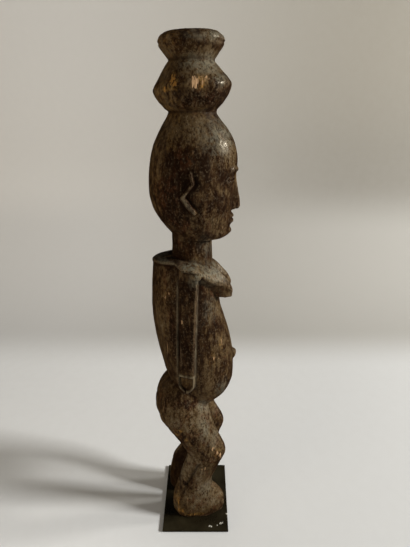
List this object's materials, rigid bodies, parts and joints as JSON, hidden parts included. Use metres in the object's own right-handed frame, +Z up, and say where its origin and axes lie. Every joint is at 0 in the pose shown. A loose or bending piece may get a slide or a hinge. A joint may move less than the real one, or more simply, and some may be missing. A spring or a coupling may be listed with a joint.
{
  "type": "carved wooden standing figure on a base plate",
  "caption": "Dark patinated wooden standing figure with a stacked disc headdress, long egg-shaped head, arms held to its sides and bent legs, on a thin black metal plate.",
  "frame": {"origin": "middle of the base plate's underside", "axes": "+Z up along the figure, -Y the way the figure faces, -X the figure's right side"},
  "size_m": [0.093, 0.0872, 0.5053],
  "materials": {
    "carved_wood": "old hand-carved hardwood with a dark brown to black, partly glossy patina, rubbed reddish brown and bare in places",
    "black_metal": "thin steel plate painted satin black, with small chips along its near edge"
  },
  "bodies": {
    "root": {"figure": "carved_wood", "base_plate": "black_metal"}
  },
  "joints": []
}
